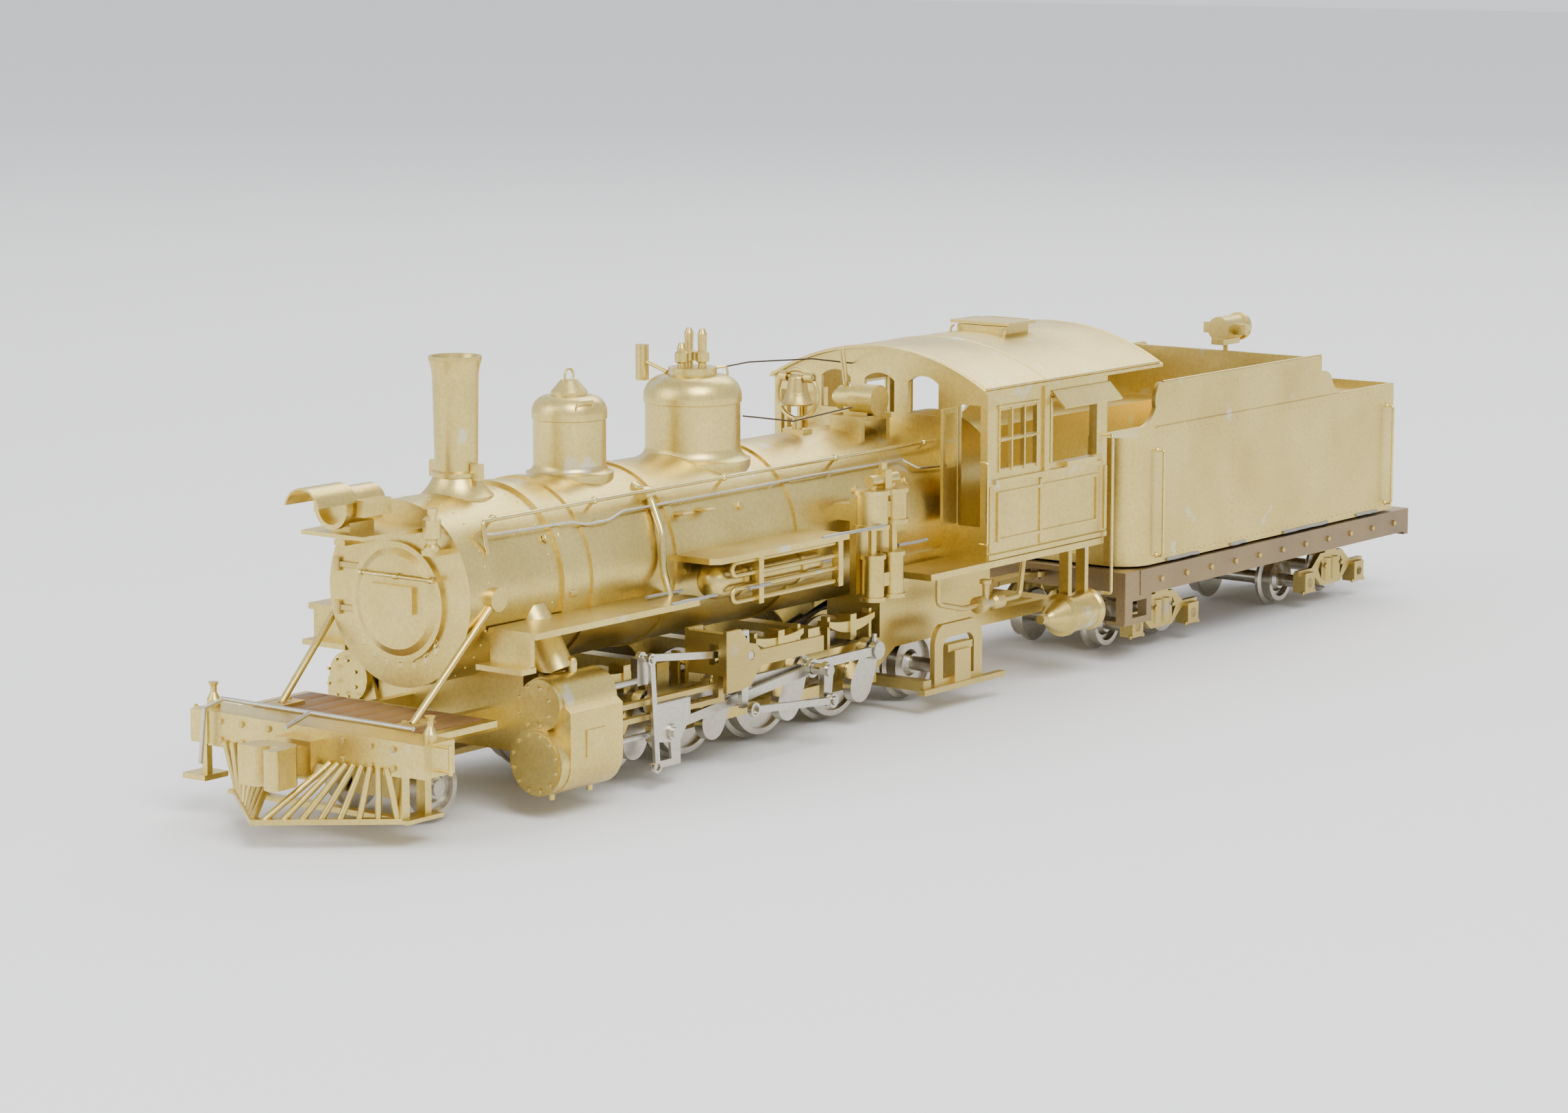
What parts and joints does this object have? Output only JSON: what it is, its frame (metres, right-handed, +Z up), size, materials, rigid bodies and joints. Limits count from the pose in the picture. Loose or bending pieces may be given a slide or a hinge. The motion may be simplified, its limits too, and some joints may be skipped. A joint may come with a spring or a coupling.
{
  "type": "model steam locomotive",
  "caption": "Small-scale brass steam locomotive with tender, outside-frame drivers, working rods, valve gear, trucks, bell, doors and hatches",
  "frame": {"origin": "middle of the whole model at wheel flange level", "axes": "X forward along the track, Y to the engine's left, Z up"},
  "size_m": [0.224, 0.0376, 0.0492],
  "materials": {
    "brass": "satin",
    "cast_brass": "matte",
    "nickel_silver": "satin",
    "wheel_metal": "polished",
    "motor_steel": "satin"
  },
  "bodies": {
    "engine": {"frames": "brass", "cylinders": "brass", "smokebox": "brass", "boiler": "brass", "smokebox_front": "brass", "smokestack": "brass", "sand_dome": "brass", "steam_dome": "brass", "lamps": "brass", "bell_yoke_and_generator": "brass", "running_boards": "brass", "air_tanks_and_coil": "brass", "air_pump": "brass", "guide_bars": "cast_brass", "gear_yoke": "cast_brass", "pilot": "brass", "pilot_beam": "brass", "cab": "brass", "cab_roof": "brass", "backhead": "cast_brass", "motor": "motor_steel"},
    "driver_3": {"driver_3": "wheel_metal"},
    "driver_1": {"driver_1": "wheel_metal"},
    "driver_2": {"driver_2": "wheel_metal"},
    "driver_4": {"driver_4": "wheel_metal"},
    "worm_shaft": {"worm_shaft": "motor_steel"},
    "side_rod_left": {"side_rod_left": "nickel_silver"},
    "main_rod_left": {"main_rod_left": "nickel_silver"},
    "eccentric_rod_left": {"eccentric_rod_left": "nickel_silver"},
    "crosshead_left": {"crosshead_left": "nickel_silver"},
    "valve_rod_left": {"valve_rod_left": "nickel_silver"},
    "combination_lever_left": {"combination_lever_left": "nickel_silver"},
    "expansion_link_left": {"expansion_link_left": "nickel_silver"},
    "side_rod_right": {"side_rod_right": "nickel_silver"},
    "main_rod_right": {"main_rod_right": "nickel_silver"},
    "eccentric_rod_right": {"eccentric_rod_right": "nickel_silver"},
    "crosshead_right": {"crosshead_right": "nickel_silver"},
    "valve_rod_right": {"valve_rod_right": "nickel_silver"},
    "combination_lever_right": {"combination_lever_right": "nickel_silver"},
    "expansion_link_right": {"expansion_link_right": "nickel_silver"},
    "pilot_truck": {"pilot_truck": "cast_brass"},
    "pilot_wheels": {"pilot_wheels": "wheel_metal"},
    "trailing_truck": {"trailing_truck": "cast_brass"},
    "trailing_wheels": {"trailing_wheels": "wheel_metal"},
    "bell": {"bell": "cast_brass"},
    "roof_hatch": {"roof_hatch": "brass"},
    "cab_door_left": {"cab_door_left": "brass"},
    "cab_door_right": {"cab_door_right": "brass"},
    "uncoupling_lever": {"uncoupling_lever": "nickel_silver"},
    "drawbar": {"drawbar": "cast_brass"},
    "tender": {"tender_frame": "brass", "tender_tank": "brass"},
    "tender_hatch": {"tender_hatch": "brass"},
    "tender_truck_front": {"tender_truck_front": "cast_brass"},
    "tender_wheels_1": {"tender_wheels_1": "wheel_metal"},
    "tender_wheels_2": {"tender_wheels_2": "wheel_metal"},
    "tender_truck_rear": {"tender_truck_rear": "cast_brass"},
    "tender_wheels_3": {"tender_wheels_3": "wheel_metal"},
    "tender_wheels_4": {"tender_wheels_4": "wheel_metal"},
    "rear_coupler": {"rear_coupler": "cast_brass"}
  },
  "joints": [
    {"name": "driver_3_turn", "type": "hinge", "parent": "engine", "child": "driver_3", "pos_m": [0.0331, 0, 0.0064], "axis": [0, 1, 0], "continuous": true},
    {"name": "driver_1_turn", "type": "hinge", "parent": "engine", "child": "driver_1", "pos_m": [0.0617, 0, 0.0064], "axis": [0, 1, 0], "continuous": true},
    {"name": "driver_2_turn", "type": "hinge", "parent": "engine", "child": "driver_2", "pos_m": [0.0474, 0, 0.0064], "axis": [0, 1, 0], "continuous": true},
    {"name": "driver_4_turn", "type": "hinge", "parent": "engine", "child": "driver_4", "pos_m": [0.0188, 0, 0.0064], "axis": [0, 1, 0], "continuous": true},
    {"name": "worm_shaft_turn", "type": "hinge", "parent": "engine", "child": "worm_shaft", "pos_m": [0.0056, 0, 0.014], "axis": [0.9703, 0, -0.2419], "continuous": true},
    {"name": "side_rod_left_turn", "type": "hinge", "parent": "driver_3", "child": "side_rod_left", "pos_m": [0.03165, 0.0121, 0.00902], "axis": [0, 1, 0], "continuous": true},
    {"name": "main_rod_left_turn", "type": "hinge", "parent": "driver_3", "child": "main_rod_left", "pos_m": [0.03165, 0.0132, 0.00902], "axis": [0, 1, 0], "continuous": true},
    {"name": "eccentric_rod_left_turn", "type": "hinge", "parent": "driver_3", "child": "eccentric_rod_left", "pos_m": [0.03179, 0.0163, 0.00556], "axis": [0, 1, 0], "continuous": true},
    {"name": "crosshead_left_slide", "type": "slide", "parent": "engine", "child": "crosshead_left", "axis": [1, 0, 0], "range_m": [-0.0015, 0.0044]},
    {"name": "valve_rod_left_slide", "type": "slide", "parent": "engine", "child": "valve_rod_left", "axis": [1, 0, 0], "range_m": [-0.0008, 0.0008]},
    {"name": "combination_lever_left_turn", "type": "hinge", "parent": "valve_rod_left", "child": "combination_lever_left", "pos_m": [0.0642, 0.01535, 0.015], "axis": [0, 1, 0], "range_deg": [-22, 8]},
    {"name": "expansion_link_left_turn", "type": "hinge", "parent": "engine", "child": "expansion_link_left", "pos_m": [0.0466, 0.01465, 0.013], "axis": [0, 1, 0], "range_deg": [-12, 12]},
    {"name": "side_rod_right_turn", "type": "hinge", "parent": "driver_3", "child": "side_rod_right", "pos_m": [0.03572, -0.0121, 0.00785], "axis": [0, 1, 0], "continuous": true},
    {"name": "main_rod_right_turn", "type": "hinge", "parent": "driver_3", "child": "main_rod_right", "pos_m": [0.03572, -0.0132, 0.00785], "axis": [0, 1, 0], "continuous": true},
    {"name": "eccentric_rod_right_turn", "type": "hinge", "parent": "driver_3", "child": "eccentric_rod_right", "pos_m": [0.03226, -0.0163, 0.00771], "axis": [0, 1, 0], "continuous": true},
    {"name": "crosshead_right_slide", "type": "slide", "parent": "engine", "child": "crosshead_right", "axis": [1, 0, 0], "range_m": [-0.0056, 0.0003]},
    {"name": "valve_rod_right_slide", "type": "slide", "parent": "engine", "child": "valve_rod_right", "axis": [1, 0, 0], "range_m": [-0.0008, 0.0008]},
    {"name": "combination_lever_right_turn", "type": "hinge", "parent": "valve_rod_right", "child": "combination_lever_right", "pos_m": [0.0642, -0.01535, 0.015], "axis": [0, 1, 0], "range_deg": [-3, 28]},
    {"name": "expansion_link_right_turn", "type": "hinge", "parent": "engine", "child": "expansion_link_right", "pos_m": [0.0466, -0.01465, 0.013], "axis": [0, 1, 0], "range_deg": [-12, 12]},
    {"name": "pilot_truck_turn", "type": "hinge", "parent": "engine", "child": "pilot_truck", "pos_m": [0.0714, 0, 0.0055], "axis": [0, 0, 1], "range_deg": [-7, 7]},
    {"name": "pilot_wheels_turn", "type": "hinge", "parent": "pilot_truck", "child": "pilot_wheels", "pos_m": [0.0903, 0, 0.0038], "axis": [0, 1, 0], "continuous": true},
    {"name": "trailing_truck_turn", "type": "hinge", "parent": "engine", "child": "trailing_truck", "pos_m": [0.009, 0, 0.0035], "axis": [0, 0, 1], "range_deg": [-5, 5]},
    {"name": "trailing_wheels_turn", "type": "hinge", "parent": "trailing_truck", "child": "trailing_wheels", "pos_m": [0.002, 0, 0.0046], "axis": [0, 1, 0], "continuous": true},
    {"name": "bell_turn", "type": "hinge", "parent": "engine", "child": "bell", "pos_m": [0.0171, 0, 0.0413], "axis": [0, 1, 0], "range_deg": [-30, 30]},
    {"name": "roof_hatch_turn", "type": "hinge", "parent": "engine", "child": "roof_hatch", "pos_m": [-0.0276, 0, 0.04475], "axis": [0, -1, 0], "range_deg": [0, 60]},
    {"name": "cab_door_left_turn", "type": "hinge", "parent": "engine", "child": "cab_door_left", "pos_m": [0.0005, 0.012, 0.0297], "axis": [0, 0, 1], "range_deg": [0, 88]},
    {"name": "cab_door_right_turn", "type": "hinge", "parent": "engine", "child": "cab_door_right", "pos_m": [0.0005, -0.012, 0.0297], "axis": [0, 0, -1], "range_deg": [0, 88]},
    {"name": "uncoupling_lever_turn", "type": "hinge", "parent": "engine", "child": "uncoupling_lever", "pos_m": [0.1016, 0, 0.0129], "axis": [0, -1, 0], "range_deg": [0, 25]},
    {"name": "drawbar_turn", "type": "hinge", "parent": "engine", "child": "drawbar", "pos_m": [-0.024, 0, 0.0105], "axis": [0, 0, 1], "range_deg": [-8, 8]},
    {"name": "tender_turn", "type": "hinge", "parent": "drawbar", "child": "tender", "pos_m": [-0.035, 0, 0.0105], "axis": [0, 0, 1], "range_deg": [-8, 8]},
    {"name": "tender_hatch_turn", "type": "hinge", "parent": "tender", "child": "tender_hatch", "pos_m": [-0.0986, 0, 0.0299], "axis": [0, -1, 0], "range_deg": [0, 100]},
    {"name": "tender_truck_front_turn", "type": "hinge", "parent": "tender", "child": "tender_truck_front", "pos_m": [-0.049, 0, 0.0075], "axis": [0, 0, 1], "range_deg": [-8, 8]},
    {"name": "tender_wheels_1_turn", "type": "hinge", "parent": "tender_truck_front", "child": "tender_wheels_1", "pos_m": [-0.0421, 0, 0.0036], "axis": [0, 1, 0], "continuous": true},
    {"name": "tender_wheels_2_turn", "type": "hinge", "parent": "tender_truck_front", "child": "tender_wheels_2", "pos_m": [-0.0559, 0, 0.0036], "axis": [0, 1, 0], "continuous": true},
    {"name": "tender_truck_rear_turn", "type": "hinge", "parent": "tender", "child": "tender_truck_rear", "pos_m": [-0.0938, 0, 0.0075], "axis": [0, 0, 1], "range_deg": [-8, 8]},
    {"name": "tender_wheels_3_turn", "type": "hinge", "parent": "tender_truck_rear", "child": "tender_wheels_3", "pos_m": [-0.0869, 0, 0.0036], "axis": [0, 1, 0], "continuous": true},
    {"name": "tender_wheels_4_turn", "type": "hinge", "parent": "tender_truck_rear", "child": "tender_wheels_4", "pos_m": [-0.1007, 0, 0.0036], "axis": [0, 1, 0], "continuous": true},
    {"name": "rear_coupler_turn", "type": "hinge", "parent": "tender", "child": "rear_coupler", "pos_m": [-0.1056, 0, 0.00745], "axis": [0, 0, 1], "range_deg": [-12, 12]}
  ],
  "couplings": [
    {"joint": "driver_1_turn", "follows": "driver_3_turn", "ratio": 1},
    {"joint": "driver_2_turn", "follows": "driver_3_turn", "ratio": 1},
    {"joint": "driver_4_turn", "follows": "driver_3_turn", "ratio": 1},
    {"joint": "worm_shaft_turn", "follows": "driver_3_turn", "ratio": 30},
    {"joint": "side_rod_left_turn", "follows": "driver_3_turn", "ratio": -1},
    {"joint": "main_rod_left_turn", "follows": "driver_3_turn", "ratio": -1},
    {"joint": "eccentric_rod_left_turn", "follows": "driver_3_turn", "ratio": -1},
    {"joint": "combination_lever_left_turn", "follows": "crosshead_left_slide", "rad_per_m": -81.3},
    {"joint": "side_rod_right_turn", "follows": "driver_3_turn", "ratio": -1},
    {"joint": "main_rod_right_turn", "follows": "driver_3_turn", "ratio": -1},
    {"joint": "eccentric_rod_right_turn", "follows": "driver_3_turn", "ratio": -1},
    {"joint": "combination_lever_right_turn", "follows": "crosshead_right_slide", "rad_per_m": -81.3}
  ]
}
